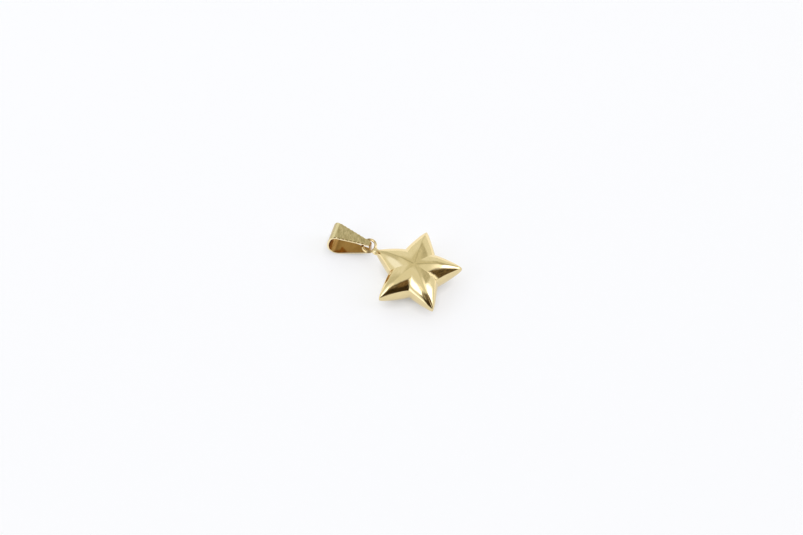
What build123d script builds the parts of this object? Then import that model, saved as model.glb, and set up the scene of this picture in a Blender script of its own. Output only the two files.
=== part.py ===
from build123d import *
import math
import os

# A gold star pendant lying face up: a hollow puffed star with a soldered ring,
# and a folded strip bail that hangs on the ring. Millimetres, +Z up, table at z = 0.

# Star sizes
star_arms = 5
star_tip_radius = 10.06
star_notch_radius = 5.77
star_half_height = 3.8
star_flat_radius = 0.55
star_sheet = 0.3

# Upper rim of the star's side wall: how far it lies inside the seam, and its height over it
tip_inset = 0.13
tip_rim_height = 0.6
notch_inset = 0.32
notch_rim_height = 1.48

# The rim's two shaping points between tip and notch: at the rounded nose and on the side
nose_width = 0.34
nose_bulge = 0.15
nose_rim_height = 0.69
side_share = 0.654
side_inset = 0.28
side_bulge = 0.38
side_rim_height = 2.11

# How the star lies: the turn of its first arm, and its small lean towards a direction
first_arm_turn = 3.4
star_lean = 3.57
lean_direction = 222.4

# Ring sizes, the arm that carries it, and how far it was soldered out of line
ring_arm = 2
ring_wire = 0.58
ring_hole = 2.27
ring_reach = 2.07
ring_side_turn = 2.3
ring_roll = 10.0

# Solder between tip and ring: a flattened bead
solder_length = 1.1
solder_width = 1.5
solder_height = 0.8

# Bail sizes: the strip is folded at its wide end and closed at its narrow end
bail_sheet = 0.38
bail_length = 9.4
bail_fold_height = 6.45
bail_end_height = 3.05
bail_fold_width = 4.74
bail_end_width = 1.04
fold_top_radius = 1.5
fold_side_radius = 6.0
fold_bottom_radius = 2.4
end_radius = 0.5
fold_top_setback = 1.15
fold_bottom_setback = 0.32
fold_nose_height = 3.95
fillet_room = 0.98

# Cut edge of the bail's upper leg
cut_count = 8
cut_pitch = 0.83
cut_first = 1.7
cut_radius = 0.5
cut_depth = 0.13

# How the bail hangs: its turn, and the clearances to the ring's wire
bail_turn = -17.0
eye_play = 1.13
seat_gap = 0.1
eye_side_shift = 0.2

# Shape of the puffed face. Shares of the named sizes that they follow:
# along the ridge from the flat middle to the tip, and along the valley to the notch.
ridge_table = [
    # radius as a share of the tip radius, height as a share of the half height
    (0.400, 0.979),
    (0.711, 0.782),
]
valley_table = [
    # radius as a share of the notch radius, height as a share of the half height
    (0.327, 0.984),
    (0.742, 0.800),
]
inner_table = [
    # share of the tip radius along the arm, share of the notch radius sideways,
    # share of the half height; first the pair near the middle, then the pair near the rim
    (0.355, 0.179, 0.971),
    (0.267, 0.148, 0.963),
    (0.735, 0.195, 0.714),
    (0.446, 0.362, 0.784),
]


def polar(radius, degrees, height):
    """A point at a radius, a turn about Z and a height."""
    turn = math.radians(degrees)
    return Vector(radius * math.cos(turn), radius * math.sin(turn), height)


def blend(first, second, share):
    """The point at a share of the way from the first to the second."""
    return first + (second - first) * share


def half_arm_net():
    """Control points of one half arm in rows from ridge to valley, and those of its seam.

    The arm points along +X. Columns run from the flat middle out to the rim.
    """
    half_turn = 180.0 / star_arms
    tip = Vector(star_tip_radius, 0, 0)
    notch = polar(star_notch_radius, half_turn, 0)
    edge = notch - tip
    inward = Vector(-edge.Y, edge.X, 0).normalized()

    ridge = [Vector(star_flat_radius, 0, star_half_height)]
    for radius_share, height_share in ridge_table:
        radius = radius_share * star_tip_radius
        ridge.append(Vector(radius, 0, height_share * star_half_height))
    ridge.append(Vector(star_tip_radius - tip_inset, 0, tip_rim_height))

    valley = [polar(star_flat_radius, half_turn, star_half_height)]
    for radius_share, height_share in valley_table:
        radius = radius_share * star_notch_radius
        valley.append(polar(radius, half_turn, height_share * star_half_height))
    valley.append(polar(star_notch_radius - notch_inset, half_turn, notch_rim_height))

    middle = [[blend(ridge[0], valley[0], 1 / 3)], [blend(ridge[0], valley[0], 2 / 3)]]
    for entry, (along_share, across_share, height_share) in enumerate(inner_table):
        middle[entry % 2].append(Vector(
            along_share * star_tip_radius,
            across_share * star_notch_radius,
            height_share * star_half_height))
    middle[0].append(Vector(star_tip_radius - tip_inset, nose_width, nose_rim_height))
    side = tip + edge * side_share + inward * side_inset
    middle[1].append(Vector(side.X, side.Y, side_rim_height))
    nose = Vector(star_tip_radius, nose_width + nose_bulge, 0)
    seam = [tip, nose, side - inward * side_bulge, notch]
    return [ridge, middle[0], middle[1], valley], seam


def puffed_star(plan_scale, height_scale):
    """A closed puffed star, the same on both faces, as one solid."""
    step = 360.0 / star_arms
    net, seam = half_arm_net()

    def place(point, arm, mirrored, flipped):
        y = -point.Y if mirrored else point.Y
        z = -point.Z if flipped else point.Z
        turned = Vector(point.X, y, 0).rotate(Axis.Z, arm * step)
        return Vector(turned.X * plan_scale, turned.Y * plan_scale, z * height_scale)

    faces = []
    for flipped in (False, True):
        top = []
        for arm in range(star_arms):
            top.append(place(net[0][0], arm, False, flipped))
            top.append(place(net[3][0], arm, False, flipped))
        faces.append(Face(Wire.make_polygon(top, close=True)))
    for arm in range(star_arms):
        for mirrored in (False, True):
            for flipped in (False, True):
                rows = [[place(p, arm, mirrored, flipped) for p in row] for row in net]
                faces.append(Face.make_bezier_surface(rows))
            wall = []
            for row, seam_point in zip(net, seam):
                rim_point = row[3]
                bulge = seam_point * 2 - rim_point
                wall.append([
                    place(rim_point, arm, mirrored, False),
                    place(Vector(bulge.X, bulge.Y, 0), arm, mirrored, False),
                    place(rim_point, arm, mirrored, True),
                ])
            faces.append(Face.make_bezier_surface(wall))
    return Solid(Shell(faces))


def ring_frame():
    """The ring's plane in the star's own frame. Its x direction points away from the star."""
    arm_turn = ring_arm * 360.0 / star_arms
    centre = polar(star_tip_radius + ring_reach, arm_turn - ring_side_turn, 0)
    roll = math.radians(ring_roll)
    normal = polar(math.sin(roll), arm_turn + 90, math.cos(roll))
    return Plane(origin=centre, x_dir=polar(1, arm_turn, 0), z_dir=normal)


def wire_point(turn):
    """The middle of the ring's wire at a turn from the arm's direction."""
    return ring_frame().from_local_coords(polar((ring_hole + ring_wire) / 2, turn, 0))


def solder_bead():
    """The bead of solder between the tip and the point of the ring's wire that faces it."""
    arm_turn = ring_arm * 360.0 / star_arms
    tip = polar(star_tip_radius, arm_turn, 0)
    inward = ring_frame().to_local_coords(tip)
    facing = wire_point(math.degrees(math.atan2(inward.Y, inward.X)))
    # A ball one millimetre across, stretched to the bead's three sizes
    bead = scale(Sphere(0.5), by=(solder_length, solder_width, solder_height))
    return bead.moved(Location(blend(tip, facing, 0.5), (0, 0, arm_turn)))


def star_frame():
    """The plane that the leaning star lies in, before it is set on the table."""
    lean = math.radians(star_lean)
    sideways = polar(math.sin(lean), lean_direction, math.cos(lean))
    along = Vector(1, 0, 0) - sideways * sideways.X
    frame = Plane(origin=(0, 0, 0), x_dir=along, z_dir=sideways)
    return frame


def make_star_with_ring():
    """The hollow star and its ring as one soldered solid, in the star's own frame."""
    half_turn = math.pi / star_arms
    side_distance = star_tip_radius * math.sin(math.atan2(
        star_notch_radius * math.sin(half_turn),
        star_tip_radius - star_notch_radius * math.cos(half_turn)))
    plan_share = 1 - star_sheet / side_distance
    height_share = 1 - star_sheet / star_half_height
    outer = puffed_star(1, 1)
    inner = puffed_star(plan_share, height_share)
    ring = Torus((ring_hole + ring_wire) / 2, ring_wire / 2).moved(ring_frame().location)
    body = outer + solder_bead() + ring
    body = body - inner
    turn = Location((0, 0, 0), (0, 0, first_arm_turn))
    return body.solid().moved(turn)


def fitting_radii(corners, wanted):
    """The wanted corner radii, each made smaller where its two sides are too short for it."""
    count = len(corners)
    points = [Vector(*corner, 0) for corner in corners]
    reach = []
    for place, point in enumerate(points):
        before = points[place - 1] - point
        after = points[(place + 1) % count] - point
        half_angle = math.radians(before.get_angle(after)) / 2
        reach.append(wanted[place] / math.tan(half_angle))
    radii = list(wanted)
    for place, point in enumerate(points):
        other = (place + 1) % count
        room = fillet_room * (points[other] - point).length
        share = min(1, room / (reach[place] + reach[other]))
        radii[place] = min(radii[place], wanted[place] * share)
        radii[other] = min(radii[other], wanted[other] * share)
    return radii


def make_bail(wire_at):
    """The bail in the world frame, given a function from a turn to the ring's wire there."""
    wire_centre = wire_at(0)
    wire_radius = ring_wire / 2
    half_fold = bail_fold_width / 2
    half_end = bail_end_width / 2
    side_slope = (half_fold - half_end) / bail_length
    end_to_wire = bail_sheet + eye_play + wire_radius

    # The upper leg rests where the curved, tilted wire crosses its higher side
    ring_radius = (ring_hole + ring_wire) / 2
    seats = []
    for side in (-1, 1):
        crossing = half_end + side_slope * end_to_wire - side * eye_side_shift
        turn = math.asin(crossing / ring_radius)
        setback = ring_radius * (1 - math.cos(turn))
        seats.append((wire_at(side * math.degrees(turn)).Z, end_to_wire - setback))
    wire_height, seat_along = max(seats)
    seat_height = wire_height + wire_radius + seat_gap + bail_sheet
    run = bail_length - fold_top_setback - seat_along
    slope = (bail_fold_height - seat_height) / run
    end_top = seat_height - slope * seat_along

    # The fold's rounded lower corner touches the table, found in a few rounds
    lowest_corner = 0
    for _ in range(6):
        corners = [
            (0, end_top - bail_end_height),
            (0, end_top),
            (bail_length - fold_top_setback, bail_fold_height),
            (bail_length, fold_nose_height),
            (bail_length - fold_bottom_setback, lowest_corner),
        ]
        wanted = [end_radius, end_radius, fold_top_radius, fold_side_radius, fold_bottom_radius]
        outline = FilletPolyline(*corners, radius=fitting_radii(corners, wanted), close=True)
        lowest_corner -= outline.bounding_box().min.Y
    profile = make_face(Plane.XZ * outline)
    hollow = offset(profile, -bail_sheet)
    strip = extrude(profile - hollow, bail_fold_width, both=True)

    plan = make_face(Polyline(
        (0, -half_end), (bail_length, -half_fold),
        (bail_length, half_fold), (0, half_end), close=True))
    bail = strip & extrude(plan, 2 * bail_fold_height)

    # A row of round cuts slants into both side edges of the upper leg at 45 degrees
    tool = Cylinder(cut_radius, 4 * cut_radius)
    for side in (-1, 1):
        for number in range(cut_count):
            along = cut_first + number * cut_pitch
            height = end_top + slope * along
            edge = side * (half_end + side_slope * along)
            away = (cut_radius - cut_depth) * math.sqrt(0.5)
            centre = (along, edge + side * away, height + away)
            bail = bail - tool.moved(Location(centre, (side * 45, 0, 0)))

    # The narrow end lies past the wire, and the strip runs from there towards the fold
    turn = math.radians(bail_turn)
    along_x = -math.cos(turn)
    along_y = -math.sin(turn)
    start_x = wire_centre.X - along_x * end_to_wire + along_y * eye_side_shift
    start_y = wire_centre.Y - along_y * end_to_wire - along_x * eye_side_shift
    place = Location((start_x, start_y, 0), (0, 0, 180 + bail_turn))
    return bail.solid().moved(place)


star = make_star_with_ring()
lean_frame = star_frame()
star = star.moved(lean_frame.location)
lift = -star.bounding_box().min.Z
star = star.moved(Location((0, 0, lift)))

# The wire passes through the bail where the ring points towards it
bail_side = 180 + bail_turn - first_arm_turn - ring_arm * 360.0 / star_arms


def wire_in_place(turn):
    """The middle of the ring's wire in the world, at a turn from where the bail hangs."""
    local = wire_point(bail_side + turn).rotate(Axis.Z, first_arm_turn)
    return lean_frame.from_local_coords(local) + Vector(0, 0, lift)


bail = make_bail(wire_in_place)

# The origin is at the middle of the whole pendant's box, on the table
whole = star.bounding_box().add(bail.bounding_box())
shift = Location((-whole.center().X, -whole.center().Y, -whole.min.Z))

os.makedirs("parts", exist_ok=True)
export_step(star.moved(shift), "parts/star_with_ring.step")
export_step(bail.moved(shift), "parts/bail.step")

print("star centre", -whole.center().X, -whole.center().Y, lift - whole.min.Z)
print("box", whole.size)
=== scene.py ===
import bmesh
import bpy
import math
from mathutils import Matrix, Vector


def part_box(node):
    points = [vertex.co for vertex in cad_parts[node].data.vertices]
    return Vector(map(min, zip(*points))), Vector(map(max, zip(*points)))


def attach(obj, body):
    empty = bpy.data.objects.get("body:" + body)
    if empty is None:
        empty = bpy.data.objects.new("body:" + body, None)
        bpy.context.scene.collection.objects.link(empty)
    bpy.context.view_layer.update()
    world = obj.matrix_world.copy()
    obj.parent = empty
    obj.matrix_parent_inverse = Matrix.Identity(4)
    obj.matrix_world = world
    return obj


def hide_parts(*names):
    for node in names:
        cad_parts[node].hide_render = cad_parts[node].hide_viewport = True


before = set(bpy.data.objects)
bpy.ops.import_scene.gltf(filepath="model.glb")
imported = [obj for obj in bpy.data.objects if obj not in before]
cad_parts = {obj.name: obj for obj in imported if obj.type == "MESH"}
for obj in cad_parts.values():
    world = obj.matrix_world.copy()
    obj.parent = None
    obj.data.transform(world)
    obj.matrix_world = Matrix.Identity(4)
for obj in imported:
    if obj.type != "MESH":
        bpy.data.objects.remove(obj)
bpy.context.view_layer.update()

# Metres in a millimetre, how near points are that become one, in millimetres, and the
# decimals of a millimetre that tell points apart before that
MM = 0.001
WELD = 0.001
KEY_DIGITS = 5

# Star, in millimetres and degrees, as in the solid model
STAR_ARMS = 5
TIP_RADIUS = 10.06
NOTCH_RADIUS = 5.77
HALF_HEIGHT = 3.8
FLAT_RADIUS = 0.55
TIP_INSET = 0.13
TIP_RIM = 0.6
NOTCH_INSET = 0.32
NOTCH_RIM = 1.48
NOSE_WIDTH = 0.34
NOSE_BULGE = 0.15
NOSE_RIM = 0.69
SIDE_SHARE = 0.654
SIDE_INSET = 0.28
SIDE_BULGE = 0.38
SIDE_RIM = 2.11
FIRST_TURN = 3.4
LEAN = 3.57
LEAN_DIRECTION = 222.4

# Ridge and valley points, as shares of the tip's or the notch's radius and the half height
RIDGE = [(0.400, 0.979), (0.711, 0.782)]
VALLEY = [(0.327, 0.984), (0.742, 0.800)]

# Points between them, as shares of the tip's radius, the notch's radius and the half height
INNER = [
    (0.355, 0.179, 0.971),
    (0.267, 0.148, 0.963),
    (0.735, 0.195, 0.714),
    (0.446, 0.362, 0.784),
]

# Mesh steps of half an arm, and the narrow strips at their ends as shares
ACROSS_STEPS = 22
ACROSS_STRIP = 0.012
ALONG_STEPS = 30
ALONG_STRIP = 0.02
WALL_STEPS = 12
WALL_STRIP = 0.05

# Painted dark lines along the ridges, a painted reflection of the dark room: width,
# strength on each arm, and how fast they fade at the tip
RIDGE_SHADE_WIDTH = 0.26
RIDGE_SHADE_STRENGTH = [0.85, 0.55, 0.95, 0.15, 0.3]
RIDGE_SHADE_FADE = 6.0

# Ring, in millimetres and degrees
RING_ARM = 2
RING_WIRE = 0.58
RING_HOLE = 2.27
RING_RADIUS = (RING_HOLE + RING_WIRE) / 2
RING_REACH = 2.07
RING_SIDE_TURN = 2.3
RING_ROLL = 10.0
RING_STEPS = 96
WIRE_STEPS = 24

# Painted shade on the ring, dark stretches that stand for reflections: middle and half width
# in degrees, and strength
RING_SHADE = [(120, 18, 0.9), (305, 20, 0.85), (246, 14, 0.4)]

# Beads of solder: share of the way from the tip to the wire, and length, width and height
BEADS = [(0.5, (1.1, 1.5, 0.8)), (0.0, (2.0, 1.45, 1.36))]
BEAD_TURN_STEPS = 32
BEAD_RISE_STEPS = 16

# How far from the tip the arm is as matt as the solder
SOLDER_SPREAD = 1.8

# Bail, in millimetres and degrees
SHEET = 0.38
BAIL_LENGTH = 9.4
FOLD_HEIGHT = 6.45
END_HEIGHT = 3.05
FOLD_WIDTH = 4.74
END_WIDTH = 1.04
FOLD_TOP_R = 1.5
FOLD_SIDE_R = 6.0
FOLD_BOTTOM_R = 2.4
END_R = 0.5
TOP_SETBACK = 1.15
BOTTOM_SETBACK = 0.32
NOSE_HEIGHT = 3.95
BAIL_TURN = -17.0
EYE_PLAY = 1.13
SEAT_GAP = 0.1
SIDE_SHIFT = 0.2
EDGE_SOFT = 0.05

# Fillets: share of a side that its two arcs may fill, steps in an arc, and how many times
# the lowest corner is moved until the arcs stand on the floor
FILLET_ROOM = 0.98
ARC_STEPS = 14
SETTLE_ROUNDS = 6

# Cuts along the long edges of the top leg
CUT_COUNT = 8
CUT_PITCH = 0.83
CUT_FIRST = 1.7
CUT_RADIUS = 0.5
CUT_DEPTH = 0.13
FAR_CUT_SHARE = 0.55

# Outer corner of an edge, as shares of its size: how deep its bend is and how far from the
# edge, and how deep its foot is. A cut sets the top back by a share of its depth as well
CORNER_BEND_DEPTH = 0.6
CORNER_BEND_INSET = 0.45
CORNER_FOOT = 1.7
CUT_SETBACK = 0.5

# Stations along the strip: longest gap, gap where there may be cuts, how much the strip
# faces up there at least, and the gap below which two stations are one
STATION_GAP = 0.5
CUT_GAP = 0.05
TOP_FACING = 0.8
SAME_STATION = 0.0001

# Where the strip is rubbed bright and how much it faces up there at least, how deep a cut
# is where its top gets painted shade, and how much the narrow end faces away from the fold
# to get painted shade
RUBBED_FROM = 7.55
RUBBED_TO = 8.3
RUBBED_FACING = 0.2
DARK_CUT = 0.05
END_FACING = -0.5

# Material slots of the star and of the bail, and those of the ten facets of a section
FACE, RING, SOLDER, WALL = range(4)
SATIN, CUT, INSIDE_AND_SHADE, RUBBED, DULL = range(5)
FACETS = [CUT, CUT, CUT, CUT, INSIDE_AND_SHADE, CUT, CUT, CUT, CUT, SATIN]
NEAR_TOP_FACET = 8

# Camera: pixels per millimetre at the star, and where the star's middle shows
CAMERA_ELEVATION = 58.0
CAMERA_DISTANCE = 500.0
PIXELS_PER_MM = 4.66
STAR_PIXEL = (415.25, 272.71)
FRAME_PIXELS = (803, 535)
SENSOR = 36.0
CLIP_NEAR = 0.01
CLIP_FAR = 20.0

# Lamp, in metres and watts
LAMP_SIZE = 1.6
LAMP_POWER = 4.6
LAMP_PLACE = (-0.15, 0.3, 1.0)

# Floor, in metres. It glows a little, and less where the object is within the reach: a painted
# shadow
FLOOR_HALF = 3.0
FLOOR_COLOUR = (0.36, 0.36, 0.37)
FLOOR_ROUGHNESS = 0.9
FLOOR_GLOW = (0.985, 0.99, 1.0)
SHADOW_REACH = 0.0022

# Room: two colours that mottle it, the mottling's scale, detail and roughness, and the part
# of its noise from the first colour to the second
ROOM_COLOURS = ((0.725, 0.740, 0.700), (0.80, 0.825, 0.815))
MOTTLE_NOISE = (22.0, 3.0, 0.6)
MOTTLE_SPAN = (0.42, 0.58)

# Windows of light and dark in the room, each over those before it. Azimuth, elevation,
# half width, half height, soft edge and roll in degrees, colour, and second colour if mottled
WINDOWS = [
    (0, 81, 34, 28, 13.0, 0, (0.733, 0.747, 0.699), None),
    (-88, 38, 20, 15, 6.0, 20, (0.95, 1.02, 1.20), None),
    (-56, 2, 14, 9, 4.0, 0, (1.40, 1.50, 1.80), None),
    (-8, 25, 33, 36, 5.0, 19, (0.020, 0.014, 0.008), (0.066, 0.042, 0.018)),
    (-63, 40, 13, 12, 3.0, 15, (2.3, 2.3, 2.5), None),
    (-51, 56, 6, 8, 4.0, 10, (1.05, 1.03, 1.05), None),
    (-37, 43, 5, 10, 4.0, 10, (0.24, 0.22, 0.17), (0.44, 0.42, 0.36)),
    (-18, 52, 9, 6, 5.0, 0, (0.11, 0.08, 0.05), (0.24, 0.20, 0.15)),
    (11, 53, 9, 12, 5.0, 10, (0.11, 0.065, 0.025), (0.22, 0.15, 0.08)),
    (54, 33, 17, 31, 3.5, 8, (0.040, 0.028, 0.015), (0.19, 0.14, 0.075)),
    (94, 50, 12, 20, 9.0, 0, (1.20, 1.22, 1.30), None),
    (92, 37, 10, 19, 4.0, 0, (2.2, 2.3, 3.0), None),
    (141, 44, 21, 17, 4.0, -2, (0.42, 0.42, 0.33), (0.57, 0.56, 0.50)),
    (33, 38, 4.5, 26, 2.5, 2, (1.15, 1.15, 1.15), None),
    (-124, 29, 9, 22, 5.0, -7, (0.53, 0.54, 0.48), (0.63, 0.63, 0.58)),
    (178, 55, 22, 18, 7.0, -3, (0.56, 0.56, 0.48), (0.66, 0.66, 0.58)),
    (-5, 7, 25, 6, 5.9, -21, (0.481, 0.473, 0.458), None),
]

# Least forward part of a direction, where a window measures its angle
LEAST_AHEAD = 0.001

# The part of a noise's range that spans a material's range of roughness
NOISE_SPAN = (0.3, 0.7)

# Sockets of a colour mix node: share, first colour, second colour and result
MIX_SHARE, MIX_FIRST, MIX_SECOND, MIX_RESULT = 0, 6, 7, 2


# Mesh helpers


def polar(radius, degrees, height):
    """The point at a radius and a turn from the x axis, and at a height."""
    turn = math.radians(degrees)
    return Vector((radius * math.cos(turn), radius * math.sin(turn), height))


def weights(t, order):
    """Shares of a Bezier curve's control points at t."""
    if order == 3:
        return ((1 - t) ** 3, 3 * t * (1 - t) ** 2, 3 * t * t * (1 - t), t ** 3)
    return ((1 - t) ** 2, 2 * t * (1 - t), t * t)


def surface_grid(net, us, vs):
    """Points of a Bezier surface, one row for each u and one point in it for each v."""
    grid = []
    for u in us:
        wu = weights(u, len(net) - 1)
        line = []
        for v in vs:
            wv = weights(v, len(net[0]) - 1)
            point = Vector((0, 0, 0))
            for a, row in zip(wu, net):
                for b, corner in zip(wv, row):
                    point += corner * (a * b)
            line.append(point)
        grid.append(line)
    return grid


def edge_dense(count, strip):
    """Even steps from 0 to 1 with one narrow strip at each end."""
    steps = [k / count for k in range(count + 1)]
    return sorted(set([0.0, strip, 1 - strip, 1.0] + steps[1:-1]))


class Builder:
    """Collects welded vertices and faces for one mesh, in millimetres."""

    def __init__(self):
        self.verts = []
        self.faces = []
        self.slots = []
        self.index = {}
        self.marks = {}

    def vertex(self, point):
        key = tuple(round(value, KEY_DIGITS) for value in point)
        if key not in self.index:
            self.index[key] = len(self.verts)
            self.verts.append(point.copy())
        return self.index[key]

    def face(self, points, slot):
        ids = []
        for point in points:
            number = self.vertex(point)
            if number not in ids:
                ids.append(number)
        if len(ids) > 2:
            self.faces.append(ids)
            self.slots.append(slot)

    def mark(self, point, value):
        """Writes how much painted shade a vertex gets, from 0 to 1."""
        number = self.vertex(point)
        self.marks[number] = max(value, self.marks.get(number, 0.0))

    def grid(self, grid, slot, flip=False):
        for i in range(len(grid) - 1):
            for j in range(len(grid[0]) - 1):
                quad = [grid[i][j], grid[i + 1][j], grid[i + 1][j + 1], grid[i][j + 1]]
                if flip:
                    quad.reverse()
                self.face(quad, slot)

    def make(self, name, smooth=True):
        mesh = bpy.data.meshes.new(name)
        mesh.from_pydata([v * MM for v in self.verts], [], self.faces)
        for face, slot in zip(mesh.polygons, self.slots):
            face.use_smooth = smooth
            face.material_index = slot
        # The marks of painted shade go on the mesh as a point attribute
        if self.marks:
            painted_shade = mesh.attributes.new("painted_shade", "FLOAT", "POINT")
            for number, value in self.marks.items():
                painted_shade.data[number].value = value
        weld = bmesh.new()
        weld.from_mesh(mesh)
        bmesh.ops.remove_doubles(weld, verts=weld.verts, dist=WELD * MM)
        weld.to_mesh(mesh)
        weld.free()
        mesh.update()
        piece = bpy.data.objects.new(name, mesh)
        bpy.context.scene.collection.objects.link(piece)
        return piece


def seat_in_box(piece, node):
    """Moves a piece's mesh so that its box has the same middle as the node's."""
    low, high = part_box(node)
    points = [v.co for v in piece.data.vertices]
    own_low = Vector([min(p[k] for p in points) for k in range(3)])
    own_high = Vector([max(p[k] for p in points) for k in range(3)])
    shift = (low + high) / 2 - (own_low + own_high) / 2
    piece.data.transform(Matrix.Translation(shift))
    return shift


# Star


def star_net():
    """Control rows of one half arm, from ridge to valley, and its row along the seam."""
    half_turn = 180.0 / STAR_ARMS
    tip = Vector((TIP_RADIUS, 0, 0))
    notch = polar(NOTCH_RADIUS, half_turn, 0)
    edge = notch - tip
    inward = Vector((-abs(edge.y), -abs(edge.x), 0)).normalized()
    ridge = [Vector((FLAT_RADIUS, 0, HALF_HEIGHT))]
    ridge += [Vector((r * TIP_RADIUS, 0, h * HALF_HEIGHT)) for r, h in RIDGE]
    ridge += [Vector((TIP_RADIUS - TIP_INSET, 0, TIP_RIM))]
    valley = [polar(FLAT_RADIUS, half_turn, HALF_HEIGHT)]
    valley += [polar(r * NOTCH_RADIUS, half_turn, h * HALF_HEIGHT) for r, h in VALLEY]
    valley += [polar(NOTCH_RADIUS - NOTCH_INSET, half_turn, NOTCH_RIM)]
    rows = [[ridge[0].lerp(valley[0], 1 / 3)], [ridge[0].lerp(valley[0], 2 / 3)]]
    for number, (along, side, height) in enumerate(INNER):
        rows[number % 2].append(
            Vector((along * TIP_RADIUS, side * NOTCH_RADIUS, height * HALF_HEIGHT)))
    rows[0].append(Vector((TIP_RADIUS - TIP_INSET, NOSE_WIDTH, NOSE_RIM)))
    side = tip + edge * SIDE_SHARE + inward * SIDE_INSET
    rows[1].append(Vector((side.x, side.y, SIDE_RIM)))
    bulged = side - inward * SIDE_BULGE
    seam = [tip, Vector((TIP_RADIUS, NOSE_WIDTH + NOSE_BULGE, 0)), bulged, notch]
    return [ridge, rows[0], rows[1], valley], seam


def wall_net(net, seam):
    """Control rows of half an arm's wall, which bulges so that its middle is on the seam."""
    rows = []
    for on_seam, row in zip(seam, net):
        rim = row[-1]
        bulge = on_seam * 2 - rim
        rows.append([rim, Vector((bulge.x, bulge.y, 0)), Vector((rim.x, rim.y, -rim.z))])
    return rows


def mark_ridge_shade(builder, half_arm, vs, strength):
    """Marks painted shade near the ridge of half an arm, which is its first row."""
    for line in half_arm:
        for v, on_ridge, point in zip(vs, half_arm[0], line):
            near = max(0.0, 1.0 - (point - on_ridge).length / RIDGE_SHADE_WIDTH)
            fade = min(1.0, RIDGE_SHADE_FADE * (1.0 - v))
            builder.mark(point, near * fade * strength)


def arm_faces(builder, us):
    """The five arms, each as two mirrored halves with a face on both sides and a wall."""
    net, seam = star_net()
    vs = edge_dense(ALONG_STEPS, ALONG_STRIP)
    top = surface_grid(net, us, vs)
    wall = surface_grid(wall_net(net, seam), us, edge_dense(WALL_STEPS, WALL_STRIP))
    for arm in range(STAR_ARMS):
        turn = Matrix.Rotation(math.radians(arm * 360 / STAR_ARMS + FIRST_TURN), 3, "Z")
        for mirror in (1, -1):
            for side in (1, -1):
                move = turn @ Matrix.Diagonal((1, mirror, side))
                placed = [[move @ p for p in line] for line in top]
                builder.grid(placed, FACE, mirror * side > 0)
                # Painted dark lines along the ridge, a painted reflection of the dark room
                mark_ridge_shade(builder, placed, vs, RIDGE_SHADE_STRENGTH[arm])
            move = turn @ Matrix.Diagonal((1, mirror, 1))
            builder.grid([[move @ p for p in line] for line in wall], WALL, mirror > 0)


def middle_faces(builder, us):
    """The small flat in the middle of each side, with the points that the arms have."""
    for side in (1, -1):
        corners = []
        for number in range(2 * STAR_ARMS):
            turn = FIRST_TURN + number * 180 / STAR_ARMS
            corners.append(polar(FLAT_RADIUS, turn, side * HALF_HEIGHT))
        middle = Vector((0, 0, side * HALF_HEIGHT))
        for one, two in zip(corners, corners[1:] + corners[:1]):
            rim = [one.lerp(two, share) for share in us]
            for a, b in zip(rim, rim[1:]):
                builder.face([middle, a, b] if side > 0 else [middle, b, a], FACE)


def lean_matrix():
    """Turns the star's own frame so that it leans on its rounded back."""
    lean = math.radians(LEAN)
    normal = polar(math.sin(lean), LEAN_DIRECTION, math.cos(lean))
    along = (Vector((1, 0, 0)) - normal * normal.x).normalized()
    across = normal.cross(along)
    return Matrix((along, across, normal)).transposed()


# Ring and solder, in the star's own frame


def ring_frame():
    """The ring's middle, and directions along the arm, across it and through the hole."""
    arm_turn = RING_ARM * 360 / STAR_ARMS + FIRST_TURN
    centre = polar(TIP_RADIUS + RING_REACH, arm_turn - RING_SIDE_TURN, 0)
    roll = math.radians(RING_ROLL)
    normal = polar(math.sin(roll), arm_turn + 90, math.cos(roll))
    along = polar(1, arm_turn, 0)
    return centre, along, normal.cross(along), normal


def ringed_tip():
    """The tip that the ring is soldered to."""
    return polar(TIP_RADIUS, RING_ARM * 360 / STAR_ARMS + FIRST_TURN, 0)


def wire_point(degrees):
    """The middle of the ring's wire, at a turn from the arm's direction."""
    centre, along, across, _ = ring_frame()
    turn = math.radians(degrees)
    return centre + (along * math.cos(turn) + across * math.sin(turn)) * RING_RADIUS


def ring_shade(degrees):
    """How much painted shade the ring gets at a turn from the arm's direction, from 0 to 1."""
    shade = 0.0
    for middle, reach, strength in RING_SHADE:
        away = (degrees - middle) / reach
        shade = max(shade, strength * (1.0 - away * away))
    return shade


def ring_faces(builder):
    """The ring's wire, with its stretches of painted shade marked."""
    centre, _, _, normal = ring_frame()
    grid = []
    for i in range(RING_STEPS + 1):
        degrees = 360 * i / RING_STEPS
        wire = wire_point(degrees)
        outward = (wire - centre).normalized()
        line = []
        for j in range(WIRE_STEPS + 1):
            turn = 2 * math.pi * j / WIRE_STEPS
            point = wire + (outward * math.cos(turn) + normal * math.sin(turn)) * (RING_WIRE / 2)
            builder.mark(point, ring_shade(degrees))
            line.append(point)
        grid.append(line)
    builder.grid(grid, RING)


def bead_faces(builder, middle, along, size):
    """An oval bead of solder, with its length along the arm."""
    length, width, height = size
    side = Vector((-along.y, along.x, 0))
    grid = []
    for i in range(BEAD_TURN_STEPS + 1):
        turn = 2 * math.pi * i / BEAD_TURN_STEPS
        line = []
        for j in range(BEAD_RISE_STEPS + 1):
            rise = math.pi * (j / BEAD_RISE_STEPS - 0.5)
            line.append(middle + along * (length / 2 * math.cos(turn) * math.cos(rise))
                        + side * (width / 2 * math.sin(turn) * math.cos(rise))
                        + Vector((0, 0, height / 2 * math.sin(rise))))
        grid.append(line)
    builder.grid(grid, SOLDER)


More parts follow.
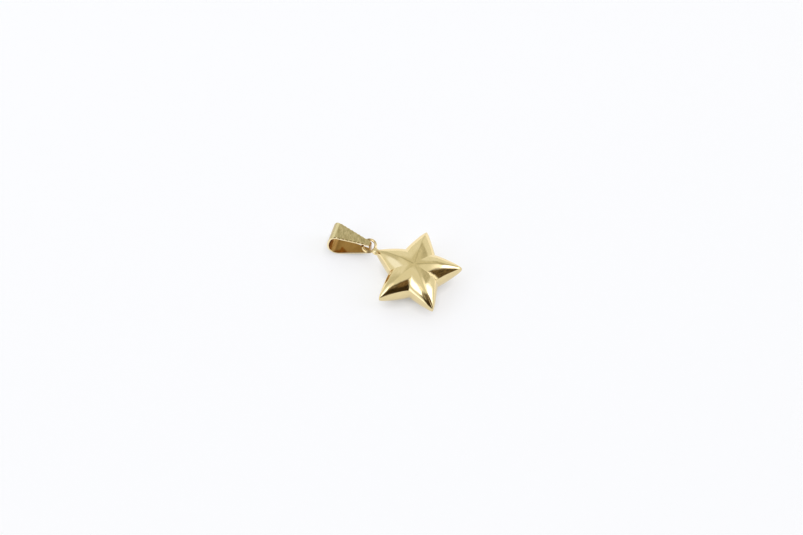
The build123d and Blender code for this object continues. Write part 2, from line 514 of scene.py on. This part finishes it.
def solder_faces(builder):
    """The beads between the tip and the wire, and the matt gold on the arm beside them."""
    centre, along, across, _ = ring_frame()
    tip = ringed_tip()
    towards = tip - centre
    facing = wire_point(math.degrees(math.atan2(towards.dot(across), towards.dot(along))))
    for share, size in BEADS:
        bead_faces(builder, tip.lerp(facing, share), along, size)
    for number, ids in enumerate(builder.faces):
        if builder.slots[number] in (FACE, WALL):
            if max((builder.verts[k] - tip).length for k in ids) < SOLDER_SPREAD:
                builder.slots[number] = SOLDER


# Bail, along x from its narrow end, with its outline in x and height


def filleted(corners, radii):
    """Points round a closed outline of lines and arcs, with each point's outward normal."""
    count = len(corners)
    points = [Vector(corner) for corner in corners]
    before = [(points[k - 1] - points[k]).normalized() for k in range(count)]
    after = [(points[(k + 1) % count] - points[k]).normalized() for k in range(count)]
    halves = [one.angle(two) / 2 for one, two in zip(before, after)]
    reach = [radius / math.tan(half) for radius, half in zip(radii, halves)]
    limited = list(radii)
    for k in range(count):
        other = (k + 1) % count
        room = FILLET_ROOM * (points[other] - points[k]).length
        share = min(1, room / (reach[k] + reach[other]))
        limited[k] = min(limited[k], radii[k] * share)
        limited[other] = min(limited[other], radii[other] * share)
    made = []
    for k, (point, radius, half) in enumerate(zip(points, limited, halves)):
        start = point + before[k] * (radius / math.tan(half))
        centre = point + (before[k] + after[k]).normalized() * (radius / math.sin(half))
        end = point + after[k] * (radius / math.tan(half))
        first = math.atan2(start.y - centre.y, start.x - centre.x)
        last = math.atan2(end.y - centre.y, end.x - centre.x)
        sweep = (last - first + math.pi) % (2 * math.pi) - math.pi
        for n in range(ARC_STEPS + 1):
            turn = first + sweep * n / ARC_STEPS
            normal = Vector((math.cos(turn), math.sin(turn)))
            made.append((centre + normal * radius, normal))
    return made


def half_width(along):
    """Half the strip's width at a distance from its narrow end."""
    return (END_WIDTH + (FOLD_WIDTH - END_WIDTH) * along / BAIL_LENGTH) / 2


def wire_seat(lift):
    """How high the wire's middle is, and how far along the strip, at the higher crossing."""
    end_to_wire = SHEET + EYE_PLAY + RING_WIRE / 2
    bail_side = 180 + BAIL_TURN - FIRST_TURN - RING_ARM * 360 / STAR_ARMS
    seats = []
    for side in (-1, 1):
        crossing = half_width(end_to_wire) - side * SIDE_SHIFT
        turn = math.asin(crossing / RING_RADIUS)
        wire = lean_matrix() @ wire_point(bail_side + side * math.degrees(turn))
        seats.append((wire.z + lift, end_to_wire - RING_RADIUS * (1 - math.cos(turn))))
    return max(seats)


def bail_outline(lift):
    """The strip's outside seen from its side. It stands on the floor and clears the wire."""
    wire_height, seat_along = wire_seat(lift)
    seat_height = wire_height + RING_WIRE / 2 + SEAT_GAP + SHEET
    slope = (FOLD_HEIGHT - seat_height) / (BAIL_LENGTH - TOP_SETBACK - seat_along)
    end_top = seat_height - slope * seat_along
    lowest = 0.0
    for _ in range(SETTLE_ROUNDS):
        corners = [(0, end_top - END_HEIGHT), (0, end_top),
                   (BAIL_LENGTH - TOP_SETBACK, FOLD_HEIGHT), (BAIL_LENGTH, NOSE_HEIGHT),
                   (BAIL_LENGTH - BOTTOM_SETBACK, lowest)]
        outline = filleted(corners, [END_R, END_R, FOLD_TOP_R, FOLD_SIDE_R, FOLD_BOTTOM_R])
        lowest -= min(point.y for point, _ in outline)
    return outline


def bail_stations(outline):
    """The outline with points added on its straight runs, closer where there are cuts."""
    stations = []
    for (p, n), (q, m) in zip(outline, outline[1:] + outline[:1]):
        stations.append((p, n))
        gap = (q - p).length
        if gap > STATION_GAP:
            on_top = n.y > TOP_FACING and m.y > TOP_FACING
            extra = int(gap / CUT_GAP) if on_top else int(gap / STATION_GAP)
            for k in range(1, extra):
                share = k / extra
                stations.append((p.lerp(q, share), n.lerp(m, share).normalized()))
    return [station for k, station in enumerate(stations)
            if (station[0] - stations[k - 1][0]).length > SAME_STATION]


def cut_depth(along, facing):
    """How deep the edge is cut at a station: round cuts, on the top leg alone."""
    depth = 0.0
    if facing.y > TOP_FACING:
        for number in range(CUT_COUNT):
            away = along - CUT_FIRST - number * CUT_PITCH
            depth = max(depth, CUT_DEPTH - away ** 2 / (2 * CUT_RADIUS))
    return depth


def bail_section(point, normal, cut):
    """Ten points round the strip: far edge from outside to inside, then near edge back."""
    inner = point - normal * SHEET
    half = half_width(min(point.x, BAIL_LENGTH))

    def at(depth, side):
        base = point.lerp(inner, depth / SHEET)
        return Vector((base.x, side, base.y))

    edges = []
    for side, share in ((-1, FAR_CUT_SHARE), (1, 1.0)):
        edge = side * half
        corner = EDGE_SOFT + cut * share
        edges.append([
            at(0, edge - side * (corner + cut * share * CUT_SETBACK)),
            at(corner * CORNER_BEND_DEPTH, edge - side * corner * CORNER_BEND_INSET),
            at(corner * CORNER_FOOT, edge),
            at(SHEET - EDGE_SOFT, edge),
            at(SHEET, edge - side * EDGE_SOFT),
        ])
    far, near = edges
    return far + near[::-1]


def bail_slot(facet, along, facing, cut):
    """Material slot of one facet between two stations."""
    slot = FACETS[facet]
    if slot == SATIN and RUBBED_FROM < along < RUBBED_TO and facing.y > RUBBED_FACING:
        slot = RUBBED
    if slot == SATIN and along >= RUBBED_TO:
        slot = DULL
    # The narrow end and the tops of deep near cuts take the dark inside gold as painted shade
    narrow_end = facing.x < END_FACING and slot in (SATIN, CUT)
    dark_cut = facet == NEAR_TOP_FACET and cut > DARK_CUT
    return INSIDE_AND_SHADE if narrow_end or dark_cut else slot


def bail_faces(builder, lift):
    """The strip, as a closed loop of sections with facets between them."""
    stations = bail_stations(bail_outline(lift))
    cuts = [cut_depth(point.x, normal) for point, normal in stations]
    rings = [bail_section(point, normal, cut) for (point, normal), cut in zip(stations, cuts)]
    for k, (point, facing) in enumerate(stations):
        after = (k + 1) % len(rings)
        one, two = rings[k], rings[after]
        for facet in range(len(one)):
            other = (facet + 1) % len(one)
            slot = bail_slot(facet, point.x, facing, min(cuts[k], cuts[after]))
            builder.face([one[facet], two[facet], two[other], one[other]], slot)


# Material helpers


def rgba(colour):
    return (*colour, 1.0)


def new_material(name):
    material = bpy.data.materials.new(name)
    material.use_nodes = True
    tree = material.node_tree
    return material, tree, tree.nodes["Principled BSDF"]


def add(tree, kind, **values):
    node = tree.nodes.new(kind)
    for key, value in values.items():
        setattr(node, key, value)
    return node


def link(tree, out, into):
    tree.links.new(out, into)


def noise_over(tree, coords, scale, detail, rough):
    texture = add(tree, "ShaderNodeTexNoise")
    texture.inputs["Scale"].default_value = scale
    texture.inputs["Detail"].default_value = detail
    texture.inputs["Roughness"].default_value = rough
    link(tree, coords, texture.inputs["Vector"])
    return texture.outputs["Fac"]


def noise(tree, scale, detail=2.0, rough=0.5, stretch=(1.0, 1.0, 1.0)):
    """Noise over the object's own space, with its scale in 1/m."""
    coords = add(tree, "ShaderNodeTexCoord")
    mapping = add(tree, "ShaderNodeMapping")
    mapping.inputs["Scale"].default_value = stretch
    link(tree, coords.outputs["Object"], mapping.inputs["Vector"])
    return noise_over(tree, mapping.outputs["Vector"], scale, detail, rough)


def remap(tree, value, low, high, first=0.0, last=1.0, kind="LINEAR"):
    node = add(tree, "ShaderNodeMapRange", interpolation_type=kind)
    node.inputs["From Min"].default_value = low
    node.inputs["From Max"].default_value = high
    node.inputs["To Min"].default_value = first
    node.inputs["To Max"].default_value = last
    link(tree, value, node.inputs["Value"])
    return node.outputs["Result"]


def maths(tree, operation, *values):
    """A maths node. Each value is a number or an output."""
    node = add(tree, "ShaderNodeMath", operation=operation)
    for number, value in enumerate(values):
        if isinstance(value, float):
            node.inputs[number].default_value = value
        else:
            link(tree, value, node.inputs[number])
    return node.outputs[0]


def colour_ramp(tree, value, low, high, dark, light):
    node = add(tree, "ShaderNodeValToRGB")
    for element, place, colour in zip(node.color_ramp.elements, (low, high), (dark, light)):
        element.position = place
        element.color = rgba(colour)
    link(tree, value, node.inputs["Fac"])
    return node.outputs["Color"]


def colour_mix(tree, share, first, second):
    """Blends two colours. Each is a colour or an output."""
    node = add(tree, "ShaderNodeMix", data_type="RGBA")
    link(tree, share, node.inputs[MIX_SHARE])
    for number, value in ((MIX_FIRST, first), (MIX_SECOND, second)):
        if isinstance(value, tuple):
            node.inputs[number].default_value = rgba(value)
        else:
            link(tree, value, node.inputs[number])
    return node.outputs[MIX_RESULT]


def bump(tree, height, strength, distance, under=None):
    """Bump with its distance in metres, over an earlier bump if there is one."""
    node = add(tree, "ShaderNodeBump")
    node.inputs["Strength"].default_value = strength
    node.inputs["Distance"].default_value = distance
    link(tree, height, node.inputs["Height"])
    if under is not None:
        link(tree, under, node.inputs["Normal"])
    return node.outputs["Normal"]


# Materials


def polished_gold(name, light, dark, roughness, shade_colour=None):
    """Polished gold. With a shade colour, the marked places are darker: painted shade."""
    material, tree, shader = new_material(name)
    shader.inputs["Metallic"].default_value = 1.0
    cloud = noise(tree, scale=420, detail=3.0)
    tone = colour_ramp(tree, cloud, low=0.35, high=0.65, dark=dark, light=light)
    # Painted shade: marked places lean towards the dark colour
    if shade_colour is not None:
        marked = add(tree, "ShaderNodeAttribute", attribute_name="painted_shade").outputs["Fac"]
        share = remap(tree, marked, low=0.0, high=1.0, last=0.75)
        tone = colour_mix(tree, share, tone, shade_colour)
    link(tree, tone, shader.inputs["Base Color"])
    uneven = noise(tree, scale=900, detail=4.0, rough=0.6)
    link(tree, remap(tree, uneven, *NOISE_SPAN, *roughness), shader.inputs["Roughness"])
    wave = bump(tree, noise(tree, scale=600), strength=0.25, distance=0.00006)
    fine = noise(tree, scale=3600, detail=3.0)
    grain = bump(tree, fine, strength=0.4, distance=0.00001, under=wave)
    link(tree, grain, shader.inputs["Normal"])
    return material


def satin_gold(name, light, dark, roughness, stretch=(1.0, 1.0, 1.0), patch=None):
    """Brushed gold. With a patch colour, wide patches of the surface lean towards it."""
    material, tree, shader = new_material(name)
    shader.inputs["Metallic"].default_value = 1.0
    brushed = noise(tree, scale=1700, detail=5.0, rough=0.75, stretch=stretch)
    tone = colour_ramp(tree, brushed, low=0.36, high=0.60, dark=dark, light=light)
    if patch is not None:
        wide = noise(tree, scale=330, detail=1.0)
        share = remap(tree, wide, low=0.42, high=0.62, last=0.45)
        tone = colour_mix(tree, share, tone, patch)
    link(tree, tone, shader.inputs["Base Color"])
    uneven = noise(tree, scale=2500, detail=4.0, rough=0.6)
    link(tree, remap(tree, uneven, *NOISE_SPAN, *roughness), shader.inputs["Roughness"])
    fine = noise(tree, scale=3200, detail=4.0, rough=0.7)
    link(tree, bump(tree, fine, strength=0.55, distance=0.00003), shader.inputs["Normal"])
    return material


def star_materials():
    """In the order of the star's slots: face, ring, solder and wall."""
    return [
        # The dark colours for marked places are painted shade, for dark reflections on ridges
        # and ring
        polished_gold("polished_gold", (0.96, 0.78, 0.43), (0.94, 0.76, 0.40), (0.03, 0.07),
                      shade_colour=(0.60, 0.47, 0.22)),
        polished_gold("ring_gold", (0.98, 0.82, 0.49), (0.84, 0.64, 0.32), (0.04, 0.09),
                      shade_colour=(0.20, 0.12, 0.04)),
        satin_gold("solder_gold", (0.95, 0.80, 0.47), (0.86, 0.69, 0.34), (0.25, 0.38)),
        polished_gold("side_gold", (0.81, 0.67, 0.375), (0.78, 0.64, 0.35), (0.05, 0.11)),
    ]


def bail_materials():
    """In the order of the bail's slots: satin, cut, inside, rubbed and dull."""
    return [
        satin_gold("satin_gold", (0.80, 0.67, 0.36), (0.50, 0.40, 0.18), (0.26, 0.40),
                   stretch=(1.5, 0.6, 1.0), patch=(0.60, 0.46, 0.21)),
        polished_gold("cut_gold", (0.97, 0.84, 0.54), (0.94, 0.78, 0.44), (0.08, 0.14)),
        # Dark gold of the inside, also painted shade on the narrow end and in deep cuts
        polished_gold("inner_and_shade_gold", (0.49, 0.28, 0.085), (0.38, 0.20, 0.05), (0.08, 0.18)),
        satin_gold("rubbed_gold", (0.98, 0.85, 0.51), (0.92, 0.77, 0.42), (0.18, 0.28)),
        satin_gold("dull_gold", (0.68, 0.56, 0.30), (0.56, 0.45, 0.22), (0.30, 0.42)),
    ]


def floor_white():
    """Plain floor. The glow weakens in two steps, near the object and under it, as a painted
    shadow.
    """
    material, tree, shader = new_material("floor_white")
    shader.inputs["Base Color"].default_value = rgba(FLOOR_COLOUR)
    shader.inputs["Roughness"].default_value = FLOOR_ROUGHNESS
    shader.inputs["Emission Color"].default_value = rgba(FLOOR_GLOW)
    # Painted shadow: ambient occlusion dims the glow near and under the object
    open_air = add(tree, "ShaderNodeAmbientOcclusion")
    open_air.inputs["Distance"].default_value = SHADOW_REACH
    near = remap(tree, open_air.outputs["AO"], low=0.5, high=1.0, last=0.14)
    under = remap(tree, open_air.outputs["AO"], low=0.1, high=0.5, first=0.18, last=0.48)
    link(tree, maths(tree, "ADD", near, under), shader.inputs["Emission Strength"])
    return material


# Pieces


def make_star():
    """The star with its ring. Returns the place of the star's middle, in metres."""
    builder = Builder()
    us = edge_dense(ACROSS_STEPS, ACROSS_STRIP)
    arm_faces(builder, us)
    middle_faces(builder, us)
    ring_faces(builder)
    solder_faces(builder)
    star = builder.make("gold_star")
    star.data.transform(lean_matrix().to_4x4())
    for material in star_materials():
        star.data.materials.append(material)
    centre = seat_in_box(star, "star_with_ring")
    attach(star, "root")
    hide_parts("star_with_ring")
    return centre


def make_bail(lift):
    """The bail, for a star whose middle is lifted so far off the floor, in millimetres."""
    builder = Builder()
    bail_faces(builder, lift)
    bail = builder.make("gold_bail", smooth=False)
    bail.data.transform(Matrix.Rotation(math.radians(180 + BAIL_TURN), 4, "Z"))
    for material in bail_materials():
        bail.data.materials.append(material)
    seat_in_box(bail, "bail")
    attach(bail, "root")
    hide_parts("bail")


# Stage


def make_floor():
    mesh = bpy.data.meshes.new("floor")
    corners = [(-1, -1), (1, -1), (1, 1), (-1, 1)]
    mesh.from_pydata([(x * FLOOR_HALF, y * FLOOR_HALF, 0) for x, y in corners], [],
                     [(0, 1, 2, 3)])
    floor = bpy.data.objects.new("floor", mesh)
    bpy.context.scene.collection.objects.link(floor)
    floor.data.materials.append(floor_white())


def direction(azimuth, elevation):
    """Azimuth 0 is on the camera's side, 90 to its right."""
    a, e = math.radians(azimuth), math.radians(elevation)
    return Vector((math.sin(a) * math.cos(e), -math.cos(a) * math.cos(e), math.sin(e)))


def window(tree, coords, azimuth, elevation, width, height, soft, roll):
    """A soft-edged rectangle in the room, as a mask from 0 to 1. Half sizes, in degrees."""
    centre = direction(azimuth, elevation)
    right = centre.cross(Vector((0, 0, 1))).normalized()
    up = right.cross(centre).normalized()
    turned = Matrix.Rotation(math.radians(roll), 3, centre)
    right, up = turned @ right, turned @ up

    def dot(vector):
        node = add(tree, "ShaderNodeVectorMath", operation="DOT_PRODUCT")
        link(tree, coords, node.inputs[0])
        node.inputs[1].default_value = vector
        return node.outputs["Value"]

    ahead = maths(tree, "MAXIMUM", dot(centre), LEAST_AHEAD)
    masks = []
    for vector, half in ((right, width), (up, height)):
        angle = maths(tree, "ABSOLUTE", maths(tree, "ARCTAN2", dot(vector), ahead))
        outside, inside = math.radians(half + soft), math.radians(half - soft)
        masks.append(remap(tree, angle, outside, inside, kind="SMOOTHSTEP"))
    in_front = maths(tree, "GREATER_THAN", dot(centre), 0.0)
    return maths(tree, "MULTIPLY", maths(tree, "MULTIPLY", *masks), in_front)


def make_world():
    """A pale room with soft-edged windows of light and dark, which the gold mirrors."""
    world = bpy.data.worlds.new("studio")
    bpy.context.scene.world = world
    world.use_nodes = True
    tree = world.node_tree
    coords = add(tree, "ShaderNodeTexCoord").outputs["Generated"]
    mottle = remap(tree, noise_over(tree, coords, *MOTTLE_NOISE), *MOTTLE_SPAN)
    room = colour_mix(tree, mottle, *ROOM_COLOURS)
    for *place, colour, second in WINDOWS:
        if second is not None:
            colour = colour_mix(tree, mottle, colour, second)
        room = colour_mix(tree, window(tree, coords, *place), room, colour)
    background = tree.nodes["Background"]
    link(tree, room, background.inputs["Color"])
    background.inputs["Strength"].default_value = 1.0


def make_lamp():
    """A wide soft lamp over the table. Only the room shows in the gold, not the lamp."""
    data = bpy.data.lights.new("softbox", "AREA")
    data.shape = "DISK"
    data.size = LAMP_SIZE
    data.energy = LAMP_POWER
    lamp = bpy.data.objects.new("softbox", data)
    bpy.context.scene.collection.objects.link(lamp)
    lamp.location = LAMP_PLACE
    lamp.rotation_mode = "QUATERNION"
    lamp.rotation_quaternion = Vector(LAMP_PLACE).to_track_quat("Z", "Y")
    lamp.visible_glossy = False


def make_camera(star_centre):
    """A far camera that shows the star's middle at its pixel."""
    e = math.radians(CAMERA_ELEVATION)
    right = Vector((1, 0, 0))
    up = Vector((0, math.sin(e), math.cos(e)))
    back = Vector((0, -math.cos(e), math.sin(e)))
    dx = (STAR_PIXEL[0] - FRAME_PIXELS[0] / 2) / PIXELS_PER_MM
    dy = -(STAR_PIXEL[1] - FRAME_PIXELS[1] / 2) / PIXELS_PER_MM
    target = star_centre - (right * dx + up * dy) * MM
    data = bpy.data.cameras.new("camera")
    data.sensor_width = SENSOR
    data.lens = SENSOR * CAMERA_DISTANCE * PIXELS_PER_MM / FRAME_PIXELS[0]
    data.clip_start = CLIP_NEAR
    data.clip_end = CLIP_FAR
    camera = bpy.data.objects.new("camera", data)
    bpy.context.scene.collection.objects.link(camera)
    camera.location = target + back * (CAMERA_DISTANCE * MM)
    camera.rotation_mode = "QUATERNION"
    camera.rotation_quaternion = back.to_track_quat("Z", "Y")
    bpy.context.scene.camera = camera


star_centre = make_star()
make_bail(star_centre.z / MM)
make_floor()
make_world()
make_lamp()
make_camera(star_centre)
bpy.context.scene.view_settings.view_transform = "Standard"
bpy.context.scene.view_settings.look = "None"
